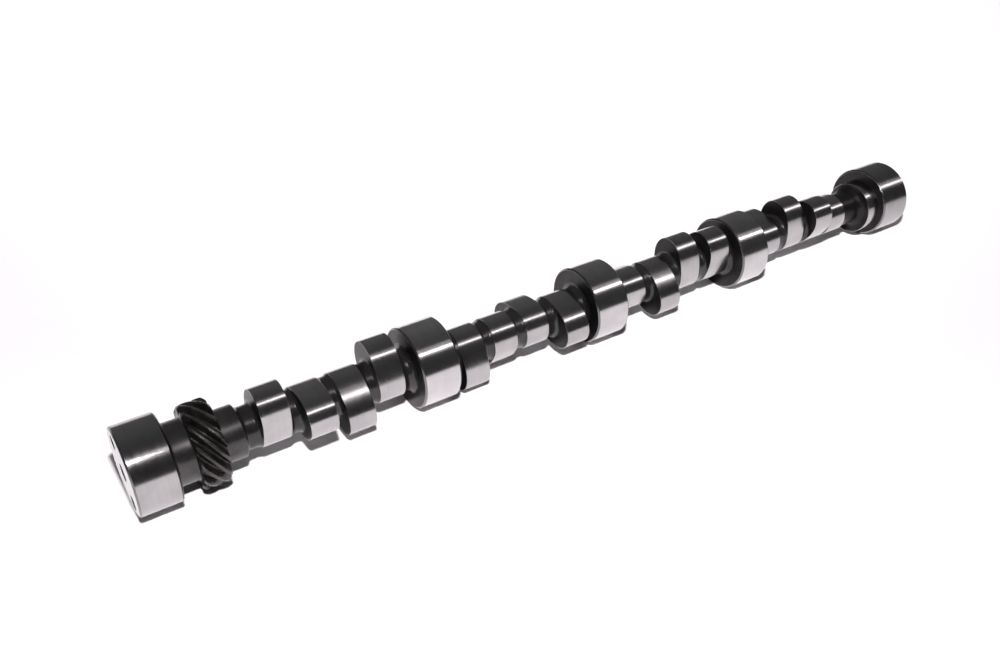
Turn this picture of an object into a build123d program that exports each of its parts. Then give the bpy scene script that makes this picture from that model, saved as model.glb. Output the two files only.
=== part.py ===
from build123d import *
import os
from math import acos, atan2, cos, degrees, radians, sin, tan

# Camshaft of a V8 engine: five equal journals, sixteen roller lobes, a helical gear that drives
# the distributor behind the lobes, and a fuel-pump eccentric behind the front journal.
# It is machined from one bar, so it is one solid.
#
# Frame, in millimetres: the shaft runs along X, with its front at +X, and Z is up.
# The origin is the centre of the front face, where the timing sprocket bolts on.
# Angles about the shaft start straight up and grow clockwise as seen from the front, towards +Y.

# ---- driving dimensions: shaft and journals
JOURNAL_DIAMETER = 49.48
BORE_PITCH = 122.94            # from one cylinder to the next, and between the middle journals
BAYS = 4                       # lengths of one bore pitch, with a journal where two of them meet
REAR_END_LENGTH = 51.06        # rear face to the start of the rearmost bay
FRONT_END_LENGTH = 34.38       # end of the front bay to the front face
REAR_JOURNAL_WIDTH = 22.8
MIDDLE_JOURNAL_WIDTH = 24.0
FRONT_JOURNAL_WIDTH = 25.5
NECK_DIAMETER = 24.4           # turned down between the lobes
JOURNAL_CHAMFER = 0.9
JOURNAL_RELIEF = 1.8           # 45 degree corner where a neck meets the side of a journal

# ---- driving dimensions: lobes
LOBE_WIDTH = 16.2
LOBE_PITCH = 23.1
FRONT_PAIR_SETBACK = 2.3       # the two front lobes stand this much further from the eccentric
BASE_CIRCLE_DIAMETER = 26.8
LOBE_RELIEF = 1.0              # 45 degree corner where a neck meets a lobe, if the neck has room
RELIEF_OVERLAP = 0.1           # how far that corner carries on inside the lobe
LIFT = {"intake": 10.9, "exhaust": 11.0}
NOSE_RADIUS = {"intake": 11.8, "exhaust": 12.1}
NOSE_TURN = 45.0               # the nose arc turns this far on either side, in degrees
SHOULDER_RADIUS = 17.0
SHOULDER_TURN = 34.0

# ---- driving dimensions: valve order and timing
FIRING_ORDER = (1, 8, 7, 3, 6, 5, 4, 2)
BANK_ANGLE = 45.0              # lifters lean this far from the vertical, on either side
CENTRELINE = {"intake": -54.0, "exhaust": 58.0}   # cam degrees from the overlap of the cylinder
SHAFT_ROLL = 196.6             # how the shaft is turned in this frame
# lobes from the rear: cylinder and valve
LOBES = (
    (8, "exhaust"), (7, "intake"), (8, "intake"), (7, "exhaust"),
    (6, "exhaust"), (5, "intake"), (6, "intake"), (5, "exhaust"),
    (4, "exhaust"), (3, "intake"), (4, "intake"), (3, "exhaust"),
    (2, "exhaust"), (1, "intake"), (2, "intake"), (1, "exhaust"),
)
LOBES_PER_BAY = 4

# ---- driving dimensions: distributor gear and the turned lengths beside it
REAR_NECK_DIAMETER = 34.9
REAR_NECK_LENGTH = 11.2
GEAR_WIDTH = 15.2
GEAR_TEETH = 13
NORMAL_MODULE = 25.4 / 14
HELIX_ANGLE = 57.0             # from the shaft axis, right hand
NORMAL_PRESSURE_ANGLE = 20.0
ROOT_DEPTH = 1.25              # in modules
GEAR_PHASE = 17.4              # angle of one tooth space at the gear's rear end
GEAR_CHAMFER = 1.5
COLLAR_DIAMETER = 30.0
COLLAR_LENGTH = 11.9
COLLAR_CHAMFER = 0.5

# ---- driving dimensions: fuel-pump eccentric
ECCENTRIC_DIAMETER = 37.0
ECCENTRIC_OFFSET = 1.8
ECCENTRIC_ANGLE = 225.0        # where its high side points
ECCENTRIC_WIDTH = 11.2

# ---- driving dimensions: end faces
CENTRE_DRILL_DIAMETER = 4.8
CENTRE_DRILL_DEPTH = 12.0
CENTRE_MOUTH_DIAMETER = 10.0
CENTRE_ANGLE = 60.0            # included angle of the countersink for the lathe centre
REAR_HOLE_DIAMETER = 7.9
REAR_HOLE_DEPTH = 12.0
REAR_HOLE_RADIUS = 16.6
REAR_HOLE_ANGLE = 26.0
BOLT_CIRCLE_DIAMETER = 28.6
BOLT_COUNT = 3
BOLT_ANGLE = 40.0
TAP_DRILL_DIAMETER = 6.6       # for 5/16 in - 18
BOLT_HOLE_DEPTH = 24.0
DOWEL_HOLE_DIAMETER = 7.92
DOWEL_HOLE_DEPTH = 14.0
DOWEL_RADIUS = 18.3
DOWEL_ANGLE = 100.0
DRILL_POINT = 118.0

# ---- places that follow
JOURNAL_R = JOURNAL_DIAMETER / 2
NECK_R = NECK_DIAMETER / 2
BASE_R = BASE_CIRCLE_DIAMETER / 2
REAR_X = -(REAR_END_LENGTH + BAYS * BORE_PITCH + FRONT_END_LENGTH)
FIRST_BAY_X = REAR_X + REAR_END_LENGTH
SHORTEST_NECK = LOBE_PITCH - FRONT_PAIR_SETBACK - LOBE_WIDTH
LOBE_CORNER = min(LOBE_RELIEF, SHORTEST_NECK / 3)
GEAR_START = REAR_X + REAR_JOURNAL_WIDTH + REAR_NECK_LENGTH
GEAR_END = GEAR_START + GEAR_WIDTH
COLLAR_END = GEAR_END + COLLAR_LENGTH
FRONT_JOURNAL_START = -FRONT_JOURNAL_WIDTH
ECCENTRIC_START = FRONT_JOURNAL_START - ECCENTRIC_WIDTH
PITCH_R = GEAR_TEETH * NORMAL_MODULE / (2 * cos(radians(HELIX_ANGLE)))
TIP_R = PITCH_R + NORMAL_MODULE
ROOT_R = PITCH_R - ROOT_DEPTH * NORMAL_MODULE
GEAR_TWIST = degrees(GEAR_WIDTH * tan(radians(HELIX_ANGLE)) / PITCH_R)


def around(x, radius, angle):
    """Point at a distance and an angle from the shaft axis."""
    return Vector(x, radius * sin(radians(angle)), radius * cos(radians(angle)))


def section_plane(x):
    """Plane across the shaft, whose own x is up and whose own y is towards +Y."""
    return Plane(origin=(x, 0, 0), x_dir=(0, 0, 1), z_dir=(-1, 0, 0))


def flat(radius, angle):
    """Point of a section plane at a distance and an angle from its centre."""
    return (radius * cos(radians(angle)), radius * sin(radians(angle)))


# ---- turned shaft -------------------------------------------------------------------------

def middle_journal_centres():
    return [FIRST_BAY_X + i * BORE_PITCH for i in range(1, BAYS)]


def lobe_centres():
    """Four lobes to a bay, spread evenly about its middle."""
    centres = []
    for i in range(len(LOBES)):
        bay, place = divmod(i, LOBES_PER_BAY)
        middle = FIRST_BAY_X + (bay + 0.5) * BORE_PITCH
        setback = FRONT_PAIR_SETBACK if i >= len(LOBES) - 2 else 0
        centres.append(middle + (place - (LOBES_PER_BAY - 1) / 2) * LOBE_PITCH - setback)
    return centres


def solids_along_shaft():
    """Start and end of whatever stands up from the necks, ahead of the collar."""
    half_journal = MIDDLE_JOURNAL_WIDTH / 2
    spans = [(x - LOBE_WIDTH / 2, x + LOBE_WIDTH / 2, "lobe") for x in lobe_centres()]
    spans += [(x - half_journal, x + half_journal, "journal") for x in middle_journal_centres()]
    spans.append((ECCENTRIC_START, FRONT_JOURNAL_START, "eccentric"))
    return sorted(spans)


def relief(x, side, kind):
    """Where a neck's straight ends beside a body, and the top of the sloping corner there."""
    if kind == "lobe":
        top = LOBE_CORNER + RELIEF_OVERLAP
        return (x + side * LOBE_CORNER, NECK_R), (x - side * RELIEF_OVERLAP, NECK_R + top)
    return (x + side * JOURNAL_RELIEF, NECK_R), (x, NECK_R + JOURNAL_RELIEF)


def journal_outline(start, end):
    """Corners over one journal, chamfered at both ends."""
    c = JOURNAL_CHAMFER
    return [(start, JOURNAL_R - c), (start + c, JOURNAL_R), (end - c, JOURNAL_R), (end, JOURNAL_R - c)]


def rear_outline():
    """Rear journal, neck, a core under the gear, and the collar ahead of it."""
    neck_r = REAR_NECK_DIAMETER / 2
    collar_r = COLLAR_DIAMETER / 2
    neck_start = REAR_X + REAR_JOURNAL_WIDTH
    return [
        (REAR_X, 0), *journal_outline(REAR_X, neck_start),
        (neck_start, neck_r), (GEAR_START, neck_r), (GEAR_START, collar_r),
        (COLLAR_END - COLLAR_CHAMFER, collar_r), (COLLAR_END, collar_r - COLLAR_CHAMFER),
        (COLLAR_END, NECK_R),
    ]


def turned_shaft():
    """Everything round and on the axis, as one turned profile."""
    outline = rear_outline()
    for start, end, kind in solids_along_shaft():
        outline += relief(start, -1, kind)
        if kind == "journal":
            outline += journal_outline(start, end)
        if kind != "eccentric":
            outline += reversed(relief(end, 1, kind))
    front_foot = (FRONT_JOURNAL_START, NECK_R + JOURNAL_RELIEF)
    outline += [front_foot, *journal_outline(FRONT_JOURNAL_START, 0), (0, 0)]
    with BuildPart() as shaft:
        with BuildSketch(Plane.XZ):
            with BuildLine():
                Polyline(*outline, close=True)
            make_face()
        revolve(axis=Axis.X)
    return shaft.part


# ---- lobes --------------------------------------------------------------------------------

def nose_angle(cylinder, valve):
    bank = BANK_ANGLE if cylinder % 2 else -BANK_ANGLE
    fires = FIRING_ORDER.index(cylinder) * 360 / len(FIRING_ORDER)
    return bank - fires - 180 + CENTRELINE[valve] + SHAFT_ROLL


def lobe_arcs(valve):
    """Arcs of one side of a lobe from nose to base circle: centre, radius, start, turn.

    Each arc is tangent to the one before, and the flank's radius is the one that lets it
    reach the base circle at a tangent too. Angles are of the surface's outward direction.
    """
    nose_r = NOSE_RADIUS[valve]
    nose_centre = Vector(BASE_R + LIFT[valve] - nose_r, 0)
    shoulder_centre = nose_centre - Vector(*flat(SHOULDER_RADIUS - nose_r, NOSE_TURN))
    flank_start = NOSE_TURN + SHOULDER_TURN
    outward = Vector(*flat(1, flank_start))
    meeting = shoulder_centre + outward * SHOULDER_RADIUS
    flank_r = (meeting.length ** 2 - BASE_R ** 2) / (2 * (meeting.dot(outward) - BASE_R))
    flank_centre = meeting - outward * flank_r
    base_start = degrees(atan2(-flank_centre.Y, -flank_centre.X))
    return [
        (nose_centre, nose_r, 0, NOSE_TURN),
        (shoulder_centre, SHOULDER_RADIUS, NOSE_TURN, SHOULDER_TURN),
        (flank_centre, flank_r, flank_start, base_start - flank_start),
        (Vector(0, 0), BASE_R, base_start, 180 - base_start),
    ]


def lobe(valve):
    """One lobe with its nose straight up, centred on the origin."""
    nose, *sides, base = lobe_arcs(valve)
    with BuildPart() as body:
        with BuildSketch(section_plane(LOBE_WIDTH / 2)):
            with BuildLine():
                CenterArc(nose[0], nose[1], -nose[3], 2 * nose[3])
                for centre, radius, start, turn in sides:
                    CenterArc(centre, radius, start, turn)
                CenterArc(base[0], base[1], base[2], 2 * base[3])
                for centre, radius, start, turn in sides:
                    CenterArc((centre.X, -centre.Y), radius, -start - turn, turn)
            make_face()
        extrude(amount=LOBE_WIDTH)
    return body.part


# ---- distributor gear ---------------------------------------------------------------------

def involute_spread(radius):
    """Angle in radians that a tooth flank has turned at this radius, from the base circle."""
    transverse = atan2(tan(radians(NORMAL_PRESSURE_ANGLE)), cos(radians(HELIX_ANGLE)))
    pressure = acos(PITCH_R * cos(transverse) / radius)
    return tan(pressure) - pressure


def half_tooth(radius):
    """Half of a tooth's thickness at this radius, as an angle in degrees."""
    return 90 / GEAR_TEETH + degrees(involute_spread(PITCH_R) - involute_spread(radius))


def gear_section():
    """One section across the gear, with its teeth standing on the root circle."""
    pitch = 360 / GEAR_TEETH
    radii = (ROOT_R, PITCH_R, TIP_R)
    with BuildSketch(section_plane(GEAR_START)) as section:
        with BuildLine():
            for i in range(GEAR_TEETH):
                tooth = GEAR_PHASE + (i + 0.5) * pitch
                rise = [flat(r, tooth - half_tooth(r)) for r in radii]
                fall = [flat(r, tooth + half_tooth(r)) for r in reversed(radii)]
                following = flat(ROOT_R, tooth + pitch - half_tooth(ROOT_R))
                ThreePointArc(*rise)
                ThreePointArc(rise[-1], flat(TIP_R, tooth), fall[0])
                ThreePointArc(*fall)
                ThreePointArc(fall[-1], flat(ROOT_R, tooth + pitch / 2), following)
        make_face()
    return section.sketch


def distributor_gear():
    """The section twisted along the shaft, then turned down at both ends of the teeth."""
    section = gear_section().faces()[0]
    twisted = Solid.extrude_linear_with_rotation(
        section, (GEAR_START, 0, 0), (GEAR_WIDTH, 0, 0), GEAR_TWIST
    )
    c = GEAR_CHAMFER
    with BuildPart() as blank:
        with BuildSketch(Plane.XZ):
            with BuildLine():
                Polyline(
                    (GEAR_START, 0), (GEAR_START, TIP_R - c), (GEAR_START + c, TIP_R + 0.01),
                    (GEAR_END - c, TIP_R + 0.01), (GEAR_END, TIP_R - c), (GEAR_END, 0), close=True,
                )
            make_face()
        revolve(axis=Axis.X)
    return blank.part & twisted


# ---- eccentric ----------------------------------------------------------------------------

def fuel_pump_eccentric():
    centre = around(ECCENTRIC_START, ECCENTRIC_OFFSET, ECCENTRIC_ANGLE)
    with BuildPart() as disc:
        with BuildSketch(Plane(origin=centre, z_dir=(1, 0, 0))):
            Circle(ECCENTRIC_DIAMETER / 2)
        extrude(amount=ECCENTRIC_WIDTH)
    return disc.part


# ---- holes in the end faces ---------------------------------------------------------------

def end_tool(mouth, into, outline):
    """A turned cutting shape that enters an end face along X, from its mouth on that face."""
    with BuildPart() as tool:
        with BuildSketch(Plane.XZ):
            with BuildLine():
                Polyline(*outline, close=True)
            make_face()
        revolve(axis=Axis.X)
    return Pos(mouth) * Rot(0, 0 if into > 0 else 180, 0) * tool.part


def drilled(mouth, into, diameter, depth):
    """A blind hole with a drill point."""
    r = diameter / 2
    point = depth + r / tan(radians(DRILL_POINT / 2))
    return end_tool(mouth, into, [(0, 0), (0, r), (depth, r), (point, 0)])


def lathe_centre(x, into):
    """Countersunk centre hole that held the bar between centres."""
    r = CENTRE_DRILL_DIAMETER / 2
    mouth_r = CENTRE_MOUTH_DIAMETER / 2
    throat = (mouth_r - r) / tan(radians(CENTRE_ANGLE / 2))
    point = CENTRE_DRILL_DEPTH + r / tan(radians(DRILL_POINT / 2))
    outline = [(0, 0), (0, mouth_r), (throat, r), (CENTRE_DRILL_DEPTH, r), (point, 0)]
    return end_tool(Vector(x, 0, 0), into, outline)


def end_holes():
    holes = [lathe_centre(REAR_X, 1), lathe_centre(0, -1)]
    for side in (0, 180):
        mouth = around(REAR_X, REAR_HOLE_RADIUS, REAR_HOLE_ANGLE + side)
        holes.append(drilled(mouth, 1, REAR_HOLE_DIAMETER, REAR_HOLE_DEPTH))
    for i in range(BOLT_COUNT):
        mouth = around(0, BOLT_CIRCLE_DIAMETER / 2, BOLT_ANGLE + i * 360 / BOLT_COUNT)
        holes.append(drilled(mouth, -1, TAP_DRILL_DIAMETER, BOLT_HOLE_DEPTH))
    dowel = around(0, DOWEL_RADIUS, DOWEL_ANGLE)
    holes.append(drilled(dowel, -1, DOWEL_HOLE_DIAMETER, DOWEL_HOLE_DEPTH))
    return holes


# ---- the whole shaft ----------------------------------------------------------------------

def camshaft():
    patterns = {valve: lobe(valve) for valve in LIFT}
    body = turned_shaft().fuse(distributor_gear(), fuel_pump_eccentric())
    for centre, (cylinder, valve) in zip(lobe_centres(), LOBES):
        turned = Rot(-nose_angle(cylinder, valve), 0, 0) * patterns[valve]
        body = body.fuse(Pos(centre, 0, 0) * turned)
    return body.cut(*end_holes())


os.makedirs("parts", exist_ok=True)
shaft = camshaft()
shaft.label = "camshaft"
export_step(shaft, "parts/camshaft.step")
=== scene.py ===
from bisect import bisect_right
from math import acos, atan2, cos, degrees, pi, radians, sin, sqrt, tan

import bmesh
import bpy
from mathutils import Euler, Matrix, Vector
from mathutils.geometry import delaunay_2d_cdt


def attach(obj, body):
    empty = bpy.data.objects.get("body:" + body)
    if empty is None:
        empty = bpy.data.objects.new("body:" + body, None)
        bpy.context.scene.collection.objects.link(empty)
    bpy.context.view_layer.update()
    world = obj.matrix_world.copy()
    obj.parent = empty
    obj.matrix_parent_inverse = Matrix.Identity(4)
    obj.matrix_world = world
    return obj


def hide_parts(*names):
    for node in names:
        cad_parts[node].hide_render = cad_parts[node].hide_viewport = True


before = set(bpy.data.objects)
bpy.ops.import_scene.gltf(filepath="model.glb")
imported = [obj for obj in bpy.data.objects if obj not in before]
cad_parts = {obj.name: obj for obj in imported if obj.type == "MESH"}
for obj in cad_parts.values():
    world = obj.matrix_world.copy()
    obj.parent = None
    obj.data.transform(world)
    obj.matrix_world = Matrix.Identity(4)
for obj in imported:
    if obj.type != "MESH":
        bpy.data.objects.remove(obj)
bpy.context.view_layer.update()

# The shaft is one closed mesh: rings of points across it, from the rear face to the front, and
# a flat face with holes at each end. It is worked out in millimetres, with x running forward
# from the rear face. Angles about the shaft start straight up and grow towards +Y.
MM = 0.001
TEETH = 13
TOOTH_POINTS = 18
AROUND = TOOTH_POINTS * TEETH   # points in a ring
STEP = 360.0 / AROUND
FILLET_STEPS = 3
QUARTER = (0, 45, 90)           # degrees round an edge at the rings that round it
SHARP_ANGLE = 50.0              # a steeper edge than this is shaded as sharp

# ---- shaft
LENGTH = 577.2
BORE_PITCH = 122.94             # from one cylinder to the next, and between the middle journals
BAYS = 4                        # lengths of one bore pitch, with a journal where two of them meet
FIRST_BAY = 51.06               # where the rearmost bay starts
JOURNAL_R = 24.74
JOURNAL_CHAMFER = 0.9
JOURNAL_FILLET = 3.4
CHAMFER_EDGE = 0.16             # rounding where a chamfer meets its neighbours
MIDDLE_WIDTH = 24.0
MIDDLE_JOURNALS = [FIRST_BAY + i * BORE_PITCH for i in range(1, BAYS)]
REAR_JOURNAL_END = 22.8
FRONT_JOURNAL_START = 551.7
NECK_R = 12.2
REAR_NECK_R = 17.45
REAR_FILLET = 2.2
COLLAR_R = 15.0
COLLAR_END = 61.1
COLLAR_CHAMFER = 0.5
COLLAR_EDGE = 0.15              # rounding at both ends of the collar's chamfer
END_MARGIN = 0.6                # flat ring between an end face's edge and its triangles

# ---- lobes
LOBE_WIDTH = 16.2
LOBE_PITCH = 23.1
FRONT_PAIR_SETBACK = 2.3        # the two front lobes stand this much further from the eccentric
LOBE_FILLET = 2.2
LOBE_EDGE = 0.3                 # rounding of the ground edges
SIDE_SLACK = 0.04               # each ring down a fillet stays this much further inside
BASE_R = 13.4
LIFT = {"intake": 10.9, "exhaust": 11.0}
NOSE_R = {"intake": 11.8, "exhaust": 12.1}
NOSE_TURN = 45.0                # the nose arc turns this far on either side
SHOULDER_R = 17.0
SHOULDER_TURN = 34.0
ARC_STEPS = 60

# ---- valve order and timing
FIRING_ORDER = (1, 8, 7, 3, 6, 5, 4, 2)
BANK_ANGLE = 45.0               # lifters lean this far from the vertical, on either side
CENTRELINE = {"intake": -54.0, "exhaust": 58.0}     # cam degrees from the cylinder's overlap
SHAFT_ROLL = 196.6              # how the shaft is turned in this frame
LOBES = (                       # cylinder and valve of each lobe, from the rear
    (8, "exhaust"), (7, "intake"), (8, "intake"), (7, "exhaust"),
    (6, "exhaust"), (5, "intake"), (6, "intake"), (5, "exhaust"),
    (4, "exhaust"), (3, "intake"), (4, "intake"), (3, "exhaust"),
    (2, "exhaust"), (1, "intake"), (2, "intake"), (1, "exhaust"),
)
LOBES_PER_BAY = len(LOBES) // BAYS

# ---- eccentric
ECCENTRIC_START = 540.5
ECCENTRIC_R = 18.5
ECCENTRIC_OFFSET = 1.8
ECCENTRIC_ANGLE = 225.0
ECCENTRIC_FILLET = 4.2
ECCENTRIC_ROOT = 0.6            # hollow where its rim runs into the front journal

# ---- gear
GEAR_START = 34.0
GEAR_END = 49.2
GEAR_FILLET = 1.2               # where the rear neck meets it
GEAR_RINGS = 40
PITCH_R = 21.66
TIP_R = 23.48
ROOT_R = 19.4
HELIX = 57.0                    # from the shaft's axis, right hand
PRESSURE = 20.0
GEAR_PHASE = 17.4               # angle of one tooth space at the gear's rear end
GEAR_CHAMFER = 1.5
GEAR_CREST = range(7, 11)       # faces of one tooth pitch that make its crest
LAND_SHARE = 0.6                # where a root or a crest has a point between middle and edge
ROOT_RISE = 0.03                # how far the root's one stands above the middle of the root
FLANK = (                       # how high a point is, and how far out it is moved, in tooth depths
    (0, 0.06), (0.12, 0), (0.34, 0), (0.62, 0), (0.88, 0), (1, -0.02),
)

# materials of the shaft's mesh, in slot order; the end journals' one is the journals' ground steel
# with painted shade
JOURNAL, SHADED_END_JOURNAL, LOBE, CHAMFER, SIDE, NECK, SATIN, TOOTH, CREST, FACE, HOLE = range(11)


# ---- skin ---------------------------------------------------------------------------------

class Skin:
    """A closed skin made of rings across the shaft, each joined to the one before."""

    def __init__(self):
        self.verts = []
        self.faces = []
        self.materials = []
        self.last = None

    def add_face(self, corners, material):
        self.faces.append(corners)
        self.materials.append(material)

    def ring(self, x, radii, material, angles=None, shift=0):
        """Adds a ring at x, and a band of faces back to the ring before it.

        The shift is how many points round the band is turned, to meet a ring that starts elsewhere.
        A list of materials gives one to each face.
        """
        start = len(self.verts)
        for i, r in enumerate(radii):
            a = radians(angles[i] if angles else i * STEP)
            self.verts.append((x, r * sin(a), r * cos(a)))
        if self.last is not None:
            for i in range(AROUND):
                j = (i + 1) % AROUND
                near, far = start + (i + shift) % AROUND, start + (j + shift) % AROUND
                own = material[i] if isinstance(material, list) else material
                self.add_face((self.last + i, self.last + j, far, near), own)
        self.last = start

    def turned(self, points, material):
        """Round rings through (x, radius) points."""
        for x, r in points:
            self.ring(x, [r] * AROUND, material)


def rounded_corner(corner, before, after, size):
    """Three points that round a corner. Its neighbours only give the directions."""
    c, b, a = Vector(corner), Vector(before), Vector(after)
    start = c + (b - c).normalized() * size
    end = c + (a - c).normalized() * size
    middle = (start + 2 * c + end) / 4
    return [tuple(start), tuple(middle), tuple(end)]


def fillet(x, side, foot_r, size):
    """Quarter arc from a neck up to a face at x. The side says where the neck lies."""
    points = []
    for k in range(FILLET_STEPS + 1):
        a = radians(90 * k / FILLET_STEPS)
        points.append((x + side * size * (1 - sin(a)), foot_r + size * (1 - cos(a))))
    return points


def journal_edge(x, side):
    """Chamfer at a journal's edge, from the side face up to the ground rim."""
    c = JOURNAL_CHAMFER
    low, high = (x, JOURNAL_R - c), (x - side * c, JOURNAL_R)
    beyond = 3 * c
    face, rim = (x, JOURNAL_R - beyond), (x - side * beyond, JOURNAL_R)
    below = rounded_corner(low, face, high, CHAMFER_EDGE)
    above = rounded_corner(high, low, rim, CHAMFER_EDGE)
    return below + above


def journal(skin, start, end, side_before=SIDE, side_after=SIDE, rim=JOURNAL):
    """Chamfer, ground rim and chamfer, joined to a side face that is already there."""
    edge = journal_edge(start, -1)
    skin.turned(edge[:1], side_before)
    skin.turned(edge[1:], CHAMFER)
    edge = journal_edge(end, 1)[::-1]
    skin.turned(edge[:1], rim)
    # A forward chamfer takes the dark side finish unless an end face follows: painted shade on a
    # chamfer ground like the rear one.
    skin.turned(edge[1:], CHAMFER if side_after == FACE else side_after)
    if side_after == FACE:
        skin.turned([(end, JOURNAL_R - JOURNAL_CHAMFER - END_MARGIN)], FACE)


def foot(skin, x, neck_r, size, material):
    """Down a front side face and round its fillet on to the neck."""
    points = fillet(x, 1, neck_r, size)[::-1]
    skin.turned(points[:1], SIDE)
    skin.turned(points[1:], material)


# ---- lobes and eccentric ------------------------------------------------------------------

def nose_angle(cylinder, valve):
    """Where a lobe's nose points, from its bank, its turn in the firing order and its valve."""
    bank = BANK_ANGLE if cylinder % 2 else -BANK_ANGLE
    fires = FIRING_ORDER.index(cylinder) * 360 / len(FIRING_ORDER)
    return bank - fires - 180 + CENTRELINE[valve] + SHAFT_ROLL


def lobe_places():
    """Centre, nose angle and valve of each lobe: four to a bay, spread about its middle."""
    places = []
    for i, (cylinder, valve) in enumerate(LOBES):
        bay, place = divmod(i, LOBES_PER_BAY)
        middle = FIRST_BAY + (bay + 0.5) * BORE_PITCH
        setback = FRONT_PAIR_SETBACK if i >= len(LOBES) - 2 else 0
        centre = middle + (place - (LOBES_PER_BAY - 1) / 2) * LOBE_PITCH - setback
        places.append((centre, nose_angle(cylinder, valve), valve))
    return places


def lobe_outline(valve, inset):
    """Half of a lobe's outline from its nose to the base circle, as (angle, radius) pairs."""
    nose_r = NOSE_R[valve]
    turn = radians(NOSE_TURN)
    nose = Vector((BASE_R + LIFT[valve] - nose_r, 0))
    shoulder = nose - (SHOULDER_R - nose_r) * Vector((cos(turn), sin(turn)))
    flank_start = NOSE_TURN + SHOULDER_TURN
    outward = Vector((cos(radians(flank_start)), sin(radians(flank_start))))
    meeting = shoulder + outward * SHOULDER_R
    flank_r = (meeting.length_squared - BASE_R ** 2) / (2 * (meeting.dot(outward) - BASE_R))
    flank = meeting - outward * flank_r
    base_start = degrees(atan2(-flank.y, -flank.x))
    arcs = (
        (nose, nose_r, 0, NOSE_TURN),
        (shoulder, SHOULDER_R, NOSE_TURN, flank_start),
        (flank, flank_r, flank_start, base_start),
        (Vector((0, 0)), BASE_R, base_start, 180),
    )
    points = []
    for centre, radius, start, end in arcs:
        for i in range(ARC_STEPS + 1):
            a = radians(start + (end - start) * i / ARC_STEPS)
            p = centre + (radius - inset) * Vector((cos(a), sin(a)))
            points.append((degrees(atan2(abs(p.y), p.x)), p.length))
    return sorted(points)


def lobe_radii(valve, nose, inset):
    """Radii of a lobe's section at every ring angle."""
    points = lobe_outline(valve, inset)
    angles = [p[0] for p in points]
    radii = []
    for i in range(AROUND):
        a = abs((i * STEP - nose + 180) % 360 - 180)
        k = min(max(bisect_right(angles, a), 1), len(points) - 1)
        (a0, r0), (a1, r1) = points[k - 1], points[k]
        t = (a - a0) / (a1 - a0) if a1 > a0 else 0
        radii.append(r0 + (r1 - r0) * min(max(t, 0), 1))
    return radii


def eccentric_radii(inset):
    """The eccentric's rim, measured from the shaft's axis."""
    radii = []
    for i in range(AROUND):
        a = radians(i * STEP - ECCENTRIC_ANGLE)
        across = ECCENTRIC_OFFSET * sin(a)
        radii.append(ECCENTRIC_OFFSET * cos(a) + sqrt((ECCENTRIC_R - inset) ** 2 - across ** 2))
    return radii


def side_rings(x, side, size, inner):
    """A fillet's rings, held inside the outline of the face they climb."""
    arc = fillet(x, side, NECK_R, size)
    rings = []
    for k, (px, pr) in enumerate(arc):
        slack = SIDE_SLACK * (len(arc) - k)
        rings.append((px, [min(pr, r - slack) for r in inner]))
    return rings


def edge_ring(skin, x, side, turn, radii_at, material):
    """A ring of the rounding between a side face at x and the ground rim."""
    bend = radians(turn)
    along = LOBE_EDGE * (1 - cos(bend))
    skin.ring(x - side * along, radii_at(LOBE_EDGE * (1 - sin(bend))), material)


def climb(skin, x, size, radii_at, root=NECK):
    """From the neck up a rear side face, and round its edge on to the ground rim."""
    for px, radii in side_rings(x, -1, size, radii_at(LOBE_EDGE)):
        skin.ring(px, radii, root)
    for turn in QUARTER:
        edge_ring(skin, x, -1, turn, radii_at, LOBE if turn else SIDE)


def descend(skin, x, size, radii_at):
    """From a ground rim round its edge and down a front side face to the neck."""
    for turn in reversed(QUARTER):
        edge_ring(skin, x, 1, turn, radii_at, LOBE)
    rings = side_rings(x, 1, size, radii_at(LOBE_EDGE))[::-1]
    for k, (px, radii) in enumerate(rings):
        skin.ring(px, radii, NECK if k else SIDE)


def lobe(skin, centre, nose, valve):
    def radii_at(inset):
        return lobe_radii(valve, nose, inset)
    climb(skin, centre - LOBE_WIDTH / 2, LOBE_FILLET, radii_at)
    descend(skin, centre + LOBE_WIDTH / 2, LOBE_FILLET, radii_at)


def eccentric(skin):
    """Up its rear face, along its rim, and through a hollow into the front journal."""
    # Its fillet takes the darker side finish instead of the neck's: painted shade between the last
    # lobe and the eccentric.
    climb(skin, ECCENTRIC_START, ECCENTRIC_FILLET, eccentric_radii, root=SIDE)
    for turn in QUARTER:
        bend = radians(turn)
        x = FRONT_JOURNAL_START - ECCENTRIC_ROOT * (1 - sin(bend))
        radii = eccentric_radii(-ECCENTRIC_ROOT * (1 - cos(bend)))
        skin.ring(x, radii, SIDE if turn else LOBE)


def middle_journal(skin, centre):
    start, end = centre - MIDDLE_WIDTH / 2, centre + MIDDLE_WIDTH / 2
    skin.turned(fillet(start, -1, NECK_R, JOURNAL_FILLET), NECK)
    journal(skin, start, end)
    foot(skin, end, NECK_R, JOURNAL_FILLET, NECK)


# ---- gear ---------------------------------------------------------------------------------

def involute_spread(radius):
    """Angle in radians that a tooth flank has turned at this radius, from the base circle."""
    transverse = atan2(tan(radians(PRESSURE)), cos(radians(HELIX)))
    pressure = acos(PITCH_R * cos(transverse) / radius)
    return tan(pressure) - pressure


def half_tooth(radius):
    """Half of a tooth's thickness at this radius, in degrees."""
    return 90 / TEETH + degrees(involute_spread(PITCH_R) - involute_spread(radius))


def tooth_section():
    """One pitch of the gear's section, from the middle of a space, as (angle, radius) pairs."""
    pitch = 360 / TEETH
    root_half = pitch / 2 - half_tooth(ROOT_R)
    depth = TIP_R - ROOT_R
    rise = [(0, ROOT_R), (root_half * LAND_SHARE, ROOT_R + ROOT_RISE)]
    for share, moved in FLANK:
        angle = pitch / 2 - half_tooth(ROOT_R + depth * share)
        rise.append((angle, ROOT_R + depth * (share + moved)))
    rise.append((pitch / 2 - half_tooth(TIP_R) * LAND_SHARE, TIP_R))
    fall = [(pitch - a, r) for a, r in reversed(rise[1:])]
    return rise + [(pitch / 2, TIP_R)] + fall


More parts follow.
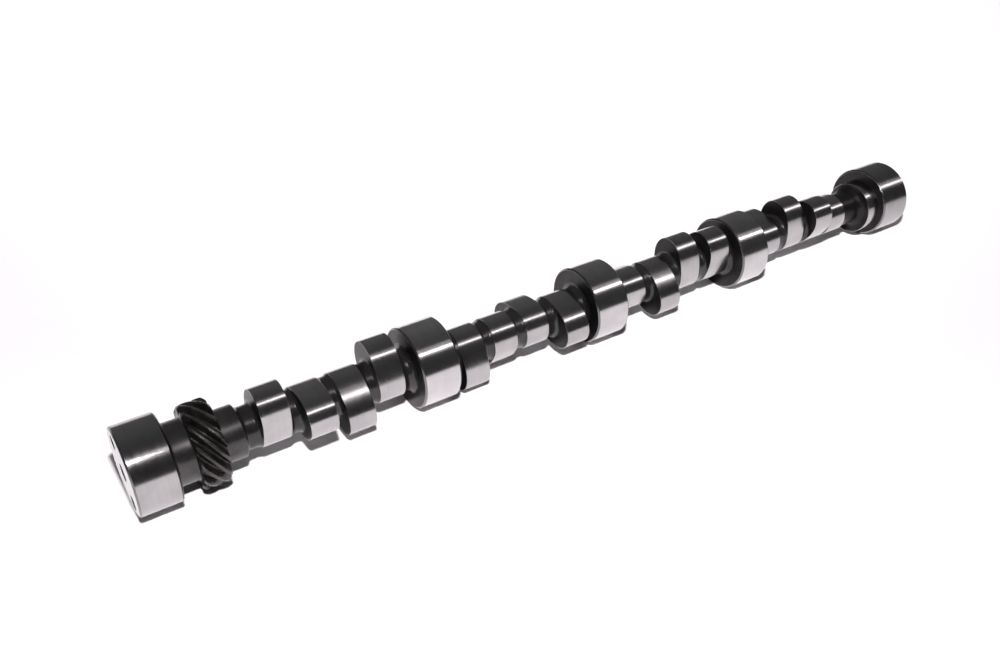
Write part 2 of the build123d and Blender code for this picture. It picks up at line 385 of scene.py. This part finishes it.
def gear(skin):
    """Twisted rings along the teeth, turned down at both ends.

    Returns where the last ring starts, counted in ring points round the shaft.
    """
    section = tooth_section()
    angles, radii = [], []
    for tooth in range(TEETH):
        for a, r in section:
            angles.append(GEAR_PHASE + tooth * 360 / TEETH + a)
            radii.append(r)
    crest = [CREST if i in GEAR_CREST else TOOTH for i in range(TOOTH_POINTS)] * TEETH
    width = GEAR_END - GEAR_START
    per_mm = degrees(tan(radians(HELIX)) / PITCH_R)
    for k in range(GEAR_RINGS + 1):
        ahead = width * k / GEAR_RINGS
        limit = TIP_R - GEAR_CHAMFER + min(ahead, width - ahead)
        turned_down = [min(r, limit) for r in radii]
        twisted = [a - per_mm * ahead for a in angles]
        shift = 0 if k else -round(GEAR_PHASE / STEP)
        skin.ring(GEAR_START + ahead, turned_down, crest if k else SIDE, twisted, shift)
    return round((GEAR_PHASE - per_mm * width) / STEP)


# ---- end faces ----------------------------------------------------------------------------

HOLE_POINTS = 40
HOLE_MARGIN = 0.35              # flat ring round a hole's mouth
DRILL_CONE = 0.6                # depth of a drill point, in hole radii
IN_HOLE = 0.995                 # a triangle's middle nearer than this, in radii, is in the hole
KEEP_INSIDE = 1                 # asks the triangulation for what lies inside the outline
SAME_POINT = 1e-6               # points of an end face that are closer than this count as one

# (distance from the axis, angle, outline of (depth, radius) from the mouth)
CENTRE_HOLE = (0.0, 0.0, ((0, 5.15), (0.12, 5.0), (4.5, 2.4), (12.0, 2.4)))
REAR_HOLES = [
    (16.6, angle, ((0, 4.25), (0.3, 3.95), (12.0, 3.95))) for angle in (26.0, 206.0)
]
FRONT_HOLES = [
    (14.3, angle, ((0, 3.9), (0.6, 3.3), (24.0, 3.3))) for angle in (40.0, 160.0, 280.0)
]
DOWEL_HOLE = (18.3, 100.0, ((0, 4.2), (0.24, 3.96), (14.0, 3.96)))


def hole_wall(skin, x, into, centre, outline):
    """Rings from a hole's mouth down to its drill point. Returns the vertices on the face."""
    mouth = outline[0][1] + HOLE_MARGIN
    first = last = None
    for depth, radius in ((0, mouth), *outline):
        start = len(skin.verts)
        for i in range(HOLE_POINTS):
            a = 2 * pi * i / HOLE_POINTS
            y, z = centre[0] + radius * sin(a), centre[1] + radius * cos(a)
            skin.verts.append((x + into * depth, y, z))
        if last is None:
            first = start
        else:
            for i in range(HOLE_POINTS):
                j = (i + 1) % HOLE_POINTS
                corners = (last + i, last + j, start + j, start + i)
                skin.add_face(corners, HOLE if depth else FACE)
        last = start
    depth, radius = outline[-1]
    tip = len(skin.verts)
    skin.verts.append((x + into * (depth + DRILL_CONE * radius), *centre))
    for i in range(HOLE_POINTS):
        skin.add_face((last + i, last + (i + 1) % HOLE_POINTS, tip), HOLE)
    return first


def end_face(skin, x, into, rim, holes):
    """A flat face with holes in it, inside the ring of vertices that starts at rim."""
    loops = [[rim + i for i in range(AROUND)]]
    discs = []
    for distance, angle, outline in holes:
        centre = (distance * sin(radians(angle)), distance * cos(radians(angle)))
        first = hole_wall(skin, x, into, centre, outline)
        loops.append([first + i for i in range(HOLE_POINTS)])
        discs.append((Vector(centre), outline[0][1] + HOLE_MARGIN))
    vertices = [v for loop in loops for v in loop]
    points = [Vector(skin.verts[v][1:]) for v in vertices]
    edges, start = [], 0
    for loop in loops:
        count = len(loop)
        edges += [(start + i, start + (i + 1) % count) for i in range(count)]
        start += count
    face_outline = [list(range(AROUND))]
    found = delaunay_2d_cdt(points, edges, face_outline, KEEP_INSIDE, SAME_POINT)
    made, triangles, sources = found[0], found[2], found[3]
    for triangle in triangles:
        middle = sum((made[i] for i in triangle), Vector((0, 0))) / len(triangle)
        if all((middle - centre).length > radius * IN_HOLE for centre, radius in discs):
            skin.add_face([vertices[sources[i][0]] for i in triangle], FACE)


# ---- the whole shaft ----------------------------------------------------------------------

def rear_end(skin):
    """Rear journal, turned neck, gear and collar. Returns where the rear face's ring starts."""
    skin.turned([(0, JOURNAL_R - JOURNAL_CHAMFER - END_MARGIN)], FACE)
    rim = skin.last
    journal(skin, 0, REAR_JOURNAL_END, side_before=FACE, rim=SHADED_END_JOURNAL)
    foot(skin, REAR_JOURNAL_END, REAR_NECK_R, REAR_FILLET, SATIN)
    skin.turned(fillet(GEAR_START, -1, REAR_NECK_R, GEAR_FILLET), SATIN)
    turn = gear(skin)
    skin.ring(GEAR_END, [COLLAR_R + COLLAR_CHAMFER] * AROUND, SIDE, shift=turn)
    skin.turned(fillet(GEAR_END, 1, COLLAR_R, COLLAR_CHAMFER)[:-1][::-1], SATIN)
    high = (COLLAR_END - COLLAR_CHAMFER, COLLAR_R)
    low = (COLLAR_END, COLLAR_R - COLLAR_CHAMFER)
    skin.turned(rounded_corner(high, (GEAR_END, COLLAR_R), low, COLLAR_EDGE), SATIN)
    skin.turned(rounded_corner(low, high, (COLLAR_END, NECK_R), COLLAR_EDGE), SATIN)
    foot(skin, COLLAR_END, NECK_R, LOBE_FILLET, NECK)
    return rim


def build_skin():
    skin = Skin()
    rear_rim = rear_end(skin)
    stations = [(spec[0], lobe, spec) for spec in lobe_places()]
    stations += [(centre, middle_journal, (centre,)) for centre in MIDDLE_JOURNALS]
    for _, build, spec in sorted(stations, key=lambda s: s[0]):
        build(skin, *spec)
    eccentric(skin)
    journal(skin, FRONT_JOURNAL_START, LENGTH, side_after=FACE, rim=SHADED_END_JOURNAL)
    front_rim = skin.last
    end_face(skin, 0, 1, rear_rim, [CENTRE_HOLE, *REAR_HOLES])
    end_face(skin, LENGTH, -1, front_rim, [CENTRE_HOLE, *FRONT_HOLES, DOWEL_HOLE])
    return skin


def object_from(skin, name, materials):
    mesh = bpy.data.meshes.new(name)
    verts = [((x - LENGTH) * MM, y * MM, z * MM) for x, y, z in skin.verts]
    mesh.from_pydata(verts, [], skin.faces)
    mesh.polygons.foreach_set("material_index", skin.materials)
    for material in materials:
        mesh.materials.append(material)
    work = bmesh.new()
    work.from_mesh(mesh)
    bmesh.ops.recalc_face_normals(work, faces=work.faces)
    work.to_mesh(mesh)
    work.free()
    mesh.shade_smooth()
    mesh.set_sharp_from_angle(angle=radians(SHARP_ANGLE))
    obj = bpy.data.objects.new(name, mesh)
    bpy.context.scene.collection.objects.link(obj)
    weighted = obj.modifiers.new("Weighted Normal", "WEIGHTED_NORMAL")
    weighted.keep_sharp = True
    return obj


# ---- finishes -----------------------------------------------------------------------------

# Noise mostly keeps to the middle of 0 to 1, so what follows it is spread over these spans.
PATCH_SPAN = (0.35, 0.7)
NOISE_SPAN = (0.3, 0.7)


def scaled(colour, by):
    return tuple(c * by for c in colour)


class Finish:
    """A Principled material whose textures live in its object's own coordinates."""

    def __init__(self, name, metallic, specular=0.5):
        self.material = bpy.data.materials.new(name)
        self.material.use_nodes = True
        self.tree = self.material.node_tree
        self.shader = self.tree.nodes["Principled BSDF"]
        self.shader.inputs["Metallic"].default_value = metallic
        self.shader.inputs["Specular IOR Level"].default_value = specular
        self.place = self.node("ShaderNodeTexCoord").outputs["Object"]

    def node(self, kind, **settings):
        made = self.tree.nodes.new(kind)
        for key, value in settings.items():
            setattr(made, key, value)
        return made

    def put(self, socket, value):
        if hasattr(value, "is_linked"):
            self.tree.links.new(value, socket)
        else:
            socket.default_value = value

    def polar(self):
        """Coordinates whose first part is distance along the shaft plus distance from its axis."""
        parts = self.node("ShaderNodeSeparateXYZ")
        self.put(parts.inputs[0], self.place)
        flat = self.node("ShaderNodeCombineXYZ")
        self.put(flat.inputs["Y"], parts.outputs["Y"])
        self.put(flat.inputs["Z"], parts.outputs["Z"])
        length = self.node("ShaderNodeVectorMath", operation="LENGTH")
        self.put(length.inputs[0], flat.outputs[0])
        total = self.node("ShaderNodeMath", operation="ADD")
        self.put(total.inputs[0], parts.outputs["X"])
        self.put(total.inputs[1], length.outputs["Value"])
        out = self.node("ShaderNodeCombineXYZ")
        self.put(out.inputs["X"], total.outputs[0])
        self.put(out.inputs["Y"], parts.outputs["Y"])
        self.put(out.inputs["Z"], parts.outputs["Z"])
        return out.outputs[0]

    def noise(self, per_metre, detail=3.0, rough=0.6, place=None):
        """Noise with its own number of grains to a metre along each direction."""
        scale = self.node("ShaderNodeMapping")
        self.put(scale.inputs["Vector"], self.place if place is None else place)
        scale.inputs["Scale"].default_value = per_metre
        made = self.node("ShaderNodeTexNoise")
        self.put(made.inputs["Vector"], scale.outputs[0])
        made.inputs["Scale"].default_value = 1.0
        made.inputs["Detail"].default_value = detail
        made.inputs["Roughness"].default_value = rough
        return made.outputs["Fac"]

    def remap(self, value, source, target):
        made = self.node("ShaderNodeMapRange")
        self.put(made.inputs["Value"], value)
        made.inputs["From Min"].default_value, made.inputs["From Max"].default_value = source
        made.inputs["To Min"].default_value, made.inputs["To Max"].default_value = target
        return made.outputs["Result"]

    def mix(self, amount, a, b):
        made = self.node("ShaderNodeMix", data_type="RGBA")
        self.put(made.inputs["Factor"], amount)
        self.put(made.inputs["A"], (*a, 1.0) if isinstance(a, tuple) else a)
        self.put(made.inputs["B"], (*b, 1.0) if isinstance(b, tuple) else b)
        return made.outputs["Result"]

    def tone(self, patches, dark, light, span=PATCH_SPAN):
        """Runs from dark to light as the patches cross the span."""
        return self.mix(self.remap(patches, span, (0, 1)), dark, light)

    def overlay(self, tone, other, where, span, most):
        """Mixes in another colour, up to the share given by most, as a noise crosses the span."""
        return self.mix(self.remap(where, span, (0, most)), tone, other)

    def roughness(self, noise, low, high):
        return self.remap(noise, NOISE_SPAN, (low, high))

    def bump(self, height, depth, normal=None):
        """Relief from a noise, with its depth in metres, over another relief if one is given."""
        made = self.node("ShaderNodeBump")
        made.inputs["Distance"].default_value = depth
        self.put(made.inputs["Height"], height)
        if normal is not None:
            self.put(made.inputs["Normal"], normal)
        return made.outputs["Normal"]

    def done(self, colour, roughness, normal):
        self.put(self.shader.inputs["Base Color"], colour)
        self.put(self.shader.inputs["Roughness"], roughness)
        self.put(self.shader.inputs["Normal"], normal)
        return self.material


def ground_steel(name, dark, light, smooth, rough, mark_depth):
    """Bright ground steel: fine wheel marks run round the shaft."""
    f = Finish(name, metallic=1.0)
    marks = f.noise((5200, 60, 60), detail=2.0)
    bands = f.noise((620, 14, 14), detail=4.0, rough=0.65)
    patches = f.noise((42, 60, 60), detail=4.0)
    tone = f.tone(patches, dark, light, span=(0.35, 0.68))
    tone = f.overlay(tone, scaled(dark, 0.76), bands, span=(0.40, 0.75), most=0.22)
    return f.done(tone, f.roughness(bands, smooth, rough), f.bump(marks, mark_depth))


def dark_oxide(name, dark, light, smooth, rough):
    """Black oxide over turned steel: dark, but it still shines."""
    f = Finish(name, metallic=0.85)
    turning = f.noise((2600, 30, 30), detail=2.0, rough=0.5, place=f.polar())
    grain = f.noise((900, 900, 900), detail=5.0, rough=0.7)
    patches = f.noise((55, 70, 70), detail=4.0)
    tone = f.tone(patches, dark, light)
    tone = f.overlay(tone, scaled(light, 1.15), grain, span=(0.45, 0.8), most=0.25)
    normal = f.bump(grain, depth=8e-6, normal=f.bump(turning, depth=7e-6))
    return f.done(tone, f.roughness(grain, smooth, rough), normal)


def satin_steel(name, dark, light, smooth, rough):
    """Turned, darker steel of the rear neck and the collar."""
    f = Finish(name, metallic=0.9)
    turning = f.noise((3400, 30, 30), detail=2.0)
    bands = f.noise((700, 12, 12), detail=4.0, rough=0.6)
    patches = f.noise((60, 80, 80), detail=4.0)
    tone = f.tone(patches, dark, light)
    tone = f.overlay(tone, (0.050, 0.048, 0.048), bands, span=(0.5, 0.75), most=0.3)
    return f.done(tone, f.roughness(patches, smooth, rough), f.bump(turning, depth=3e-6))


def gear_steel(name, dark, light, smooth, rough):
    """Hobbed and blackened teeth, worn smoother where the tone is lighter."""
    f = Finish(name, metallic=0.8)
    grain = f.noise((1400, 1400, 1400), detail=4.0)
    patches = f.noise((160, 160, 160), detail=5.0, rough=0.65)
    tone = f.tone(patches, dark, light, span=(0.38, 0.66))
    return f.done(tone, f.roughness(patches, rough, smooth), f.bump(grain, depth=6e-6))


def faced_steel(name, dark, light, smooth, rough):
    """Bright face with fine rings left by the facing tool."""
    f = Finish(name, metallic=1.0)
    rings = f.noise((2600, 30, 30), detail=2.0, rough=0.5, place=f.polar())
    patches = f.noise((50, 70, 70), detail=4.0)
    tone = f.tone(patches, dark, light)
    return f.done(tone, f.roughness(patches, smooth, rough), f.bump(rings, depth=1e-5))


def bored_steel(name, dark, light, smooth, rough):
    """Drilled holes with dark walls."""
    f = Finish(name, metallic=0.8, specular=0.4)
    spiral = f.noise((2200, 200, 200))
    patches = f.noise((300, 300, 300))
    tone = f.tone(patches, dark, light)
    return f.done(tone, f.roughness(spiral, smooth, rough), f.bump(spiral, depth=2e-5))


# In slot order: name, dark tone, light tone, smoothest and roughest. A ground finish ends with
# the depth of its marks, in metres.
FINISHES = [
    ground_steel("journal_ground", (0.56, 0.549, 0.556), (0.67, 0.657, 0.665), 0.12, 0.17, 4e-6),
    # The end journals are the same ground steel made darker: painted shade where the light falls
    # off towards both ends of the shaft.
    ground_steel(
        "end_journal_painted_shade", (0.38, 0.371, 0.377), (0.46, 0.452, 0.458), 0.14, 0.20, 4e-6
    ),
    ground_steel("lobe_ground", (0.44, 0.431, 0.437), (0.54, 0.531, 0.537), 0.15, 0.22, 5e-6),
    ground_steel("chamfer_turned", (0.20, 0.196, 0.198), (0.28, 0.275, 0.278), 0.22, 0.32, 6e-6),
    dark_oxide("side_oxide", (0.019, 0.0180, 0.0186), (0.036, 0.0345, 0.0353), 0.28, 0.38),
    dark_oxide("neck_oxide", (0.050, 0.0486, 0.0493), (0.078, 0.076, 0.077), 0.20, 0.27),
    satin_steel("satin_turned", (0.074, 0.072, 0.0725), (0.112, 0.109, 0.110), 0.26, 0.33),
    gear_steel("gear_flank", (0.023, 0.0215, 0.0202), (0.064, 0.060, 0.0565), 0.24, 0.34),
    gear_steel("gear_crest", (0.050, 0.047, 0.0445), (0.115, 0.109, 0.104), 0.22, 0.32),
    faced_steel("end_faced", (0.55, 0.54, 0.55), (0.72, 0.71, 0.72), 0.22, 0.32),
    bored_steel("hole_bored", (0.03, 0.027, 0.026), (0.085, 0.08, 0.078), 0.3, 0.45),
]

camshaft = object_from(build_skin(), "camshaft_body", FINISHES)
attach(camshaft, "root")
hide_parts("camshaft")


# ---- floor, light and camera --------------------------------------------------------------

# Sizes here are in metres, in the frame's own coordinates, and powers in watts.
FLOOR_HALF = 4.0
FLOOR_Z = -JOURNAL_R * MM       # the journals stand on it
COVE_CENTRE = -0.289            # about the middle of the shaft
COVE_START = 1.1                # further out than what the photograph's camera sees
COVE_R = 1.6
COVE_RINGS, COVE_AROUND = 24, 96

LAMP_COLOUR = (1.0, 0.945, 0.97)
DOWN = (0, 0, -1)
STRIP_LENGTH = 2.0
STRIP_X = 0.62                  # middle of the strips along the shaft
STRIPS = (                      # name, power, width, place across the shaft and 1 m from it
    ("strip_core", 2.6, 0.09, (0.0, -0.524, 0.852)),
    ("strip_edge", 0.8, 0.40, (0.0, -0.480, 0.877)),
)
OVERHEAD_POWER = 1.0
OVERHEAD_PLACE = (-0.1, 0.1, 2.4)
OVERHEAD_SIZE = 3.6
KEY_PLACE = (-0.572, -0.38, 0.55)
KEY_POWER = 58.0
KEY_RADIUS = 0.02
GLINT_POWER = 7.0
GLINT_RADIUS = 0.03
FAR_POWER = 80.0
FAR_TOWARDS = (0.53, 0.848, 0.087)
FAR_SPREAD = 120.0
BACKGROUND_POWER = 4.0
BACKGROUND_PLACE = (0.45, 1.1, 1.0)
BACKGROUND_SIZE = (2.2, 0.9)
ROOM_COLOUR = (1.0, 0.985, 1.0, 1)
ROOM_SPAN = (-0.4, 0.85)        # Y of the directions where the room is darkest and lightest
ROOM_GLOW = (0.042, 0.12)

CAMERA_PLACE = (-0.615001, -0.409365, 0.337649)
CAMERA_TILT = 55.33             # from looking straight down
CAMERA_TURN = -32.96            # from looking along +Y
CAMERA_LENS = 34.93             # in millimetres, as is the sensor
CAMERA_SENSOR = 36.0
CAMERA_NEAR = 0.01


def paper():
    f = Finish("floor_paper", metallic=0.0, specular=0.2)
    fibre = f.noise((900, 900, 900))
    tone = f.tone(fibre, (0.86, 0.86, 0.865), (0.89, 0.89, 0.89), span=NOISE_SPAN)
    return f.done(tone, roughness=0.85, normal=f.bump(fibre, depth=1e-5))


def stage_object(name, points, faces, material):
    mesh = bpy.data.meshes.new(name)
    mesh.from_pydata(points, [], faces)
    mesh.polygons.foreach_set("use_smooth", [True] * len(faces))
    mesh.materials.append(material)
    obj = bpy.data.objects.new(name, mesh)
    bpy.context.scene.collection.objects.link(obj)
    return obj


def flat_floor(material):
    h, z = FLOOR_HALF, FLOOR_Z
    corners = [(-h, -h, z), (h, -h, z), (h, h, z), (-h, h, z)]
    stage_object("floor", corners, [(0, 1, 2, 3)], material)


def curved_backdrop(material):
    """The paper curves up all round, so that a view from any side ends in a pale backdrop.

    Only the camera sees it: it gives no light, shadow or reflection.
    """
    points, faces = [], []
    for ring in range(COVE_RINGS + 1):
        bend = pi / 2 * ring / COVE_RINGS
        r, up = COVE_START + COVE_R * sin(bend), COVE_R * (1 - cos(bend))
        for k in range(COVE_AROUND):
            a = 2 * pi * k / COVE_AROUND
            points.append((COVE_CENTRE + r * cos(a), r * sin(a), FLOOR_Z + up))
    for ring in range(COVE_RINGS):
        for k in range(COVE_AROUND):
            here = ring * COVE_AROUND + k
            there = ring * COVE_AROUND + (k + 1) % COVE_AROUND
            faces.append((here, there, there + COVE_AROUND, here + COVE_AROUND))
    cove = stage_object("cove", points, faces, material)
    cove.visible_diffuse = cove.visible_glossy = cove.visible_shadow = False


def add_light(name, kind, power, place, towards, diffuse=True, gloss=False):
    """A lamp that the camera doesn't see. It lights the floor, shows in the metal, or both."""
    light = bpy.data.lights.new(name, kind)
    light.energy = power
    light.color = LAMP_COLOUR
    obj = bpy.data.objects.new(name, light)
    obj.location = place
    obj.rotation_euler = Vector(towards).to_track_quat("-Z", "Y").to_euler()
    obj.visible_camera = False
    obj.visible_diffuse = diffuse
    obj.visible_glossy = gloss
    bpy.context.scene.collection.objects.link(obj)
    return light


def add_panel(name, power, place, towards, size, diffuse=True, gloss=False):
    """A rectangle of soft light."""
    light = add_light(name, "AREA", power, place, towards, diffuse, gloss)
    light.shape = "RECTANGLE"
    light.size, light.size_y = size


def add_key(name, kind, power, radius, towards=DOWN, diffuse=True, gloss=False):
    """A lamp on the key's stand that doesn't fade along the shaft, as a feathered one doesn't."""
    light = add_light(name, kind, power, KEY_PLACE, towards, diffuse, gloss)
    light.shadow_soft_size = radius
    light.use_nodes = True
    nodes, links = light.node_tree.nodes, light.node_tree.links
    falloff = nodes.new("ShaderNodeLightFalloff")
    falloff.inputs["Strength"].default_value = 1.0
    links.new(falloff.outputs["Constant"], nodes["Emission"].inputs["Strength"])
    return light


def room():
    """Dark studio behind the camera, a little lighter on the far side."""
    world = bpy.data.worlds.new("studio")
    bpy.context.scene.world = world
    world.use_nodes = True
    nodes, links = world.node_tree.nodes, world.node_tree.links
    parts = nodes.new("ShaderNodeSeparateXYZ")
    links.new(nodes.new("ShaderNodeTexCoord").outputs["Generated"], parts.inputs[0])
    glow = nodes.new("ShaderNodeMapRange")
    links.new(parts.outputs["Y"], glow.inputs["Value"])
    glow.inputs["From Min"].default_value, glow.inputs["From Max"].default_value = ROOM_SPAN
    glow.inputs["To Min"].default_value, glow.inputs["To Max"].default_value = ROOM_GLOW
    links.new(glow.outputs["Result"], nodes["Background"].inputs["Strength"])
    nodes["Background"].inputs["Color"].default_value = ROOM_COLOUR


def studio():
    # A strip with a dim border draws the soft-edged line along the ground surfaces.
    for name, power, width, direction in STRIPS:
        away = Vector(direction)
        place = away + Vector((STRIP_X, 0, 0))
        add_panel(name, power, place, -away, (STRIP_LENGTH, width), diffuse=False, gloss=True)
    # A broad soft light overhead fills the shadows.
    overhead = (OVERHEAD_SIZE, OVERHEAD_SIZE)
    add_panel("overhead", OVERHEAD_POWER, OVERHEAD_PLACE, DOWN, overhead)
    # The key stands over the camera and keeps the floor white. Its glint on the metal is
    # a softer lamp at the same place.
    add_key("key", "POINT", KEY_POWER, KEY_RADIUS)
    add_key("glint", "POINT", GLINT_POWER, GLINT_RADIUS, diffuse=False, gloss=True)
    # A second head carries the key's light out to the far floor. It stands at the same place,
    # so that the shadows stay single and dark.
    far = add_key("key_far", "SPOT", FAR_POWER, KEY_RADIUS, FAR_TOWARDS)
    far.spot_size, far.spot_blend = radians(FAR_SPREAD), 1.0
    # One more lamp lifts the floor far behind the shaft.
    add_panel("background", BACKGROUND_POWER, BACKGROUND_PLACE, DOWN, BACKGROUND_SIZE)
    room()
    bpy.context.scene.view_settings.view_transform = "Standard"


def camera():
    data = bpy.data.cameras.new("camera")
    data.lens = CAMERA_LENS
    data.sensor_width = CAMERA_SENSOR
    data.clip_start = CAMERA_NEAR
    obj = bpy.data.objects.new("camera", data)
    obj.location = CAMERA_PLACE
    obj.rotation_euler = Euler((radians(CAMERA_TILT), 0, radians(CAMERA_TURN)))
    bpy.context.scene.collection.objects.link(obj)
    bpy.context.scene.camera = obj


floor_material = paper()
flat_floor(floor_material)
curved_backdrop(floor_material)
studio()
camera()
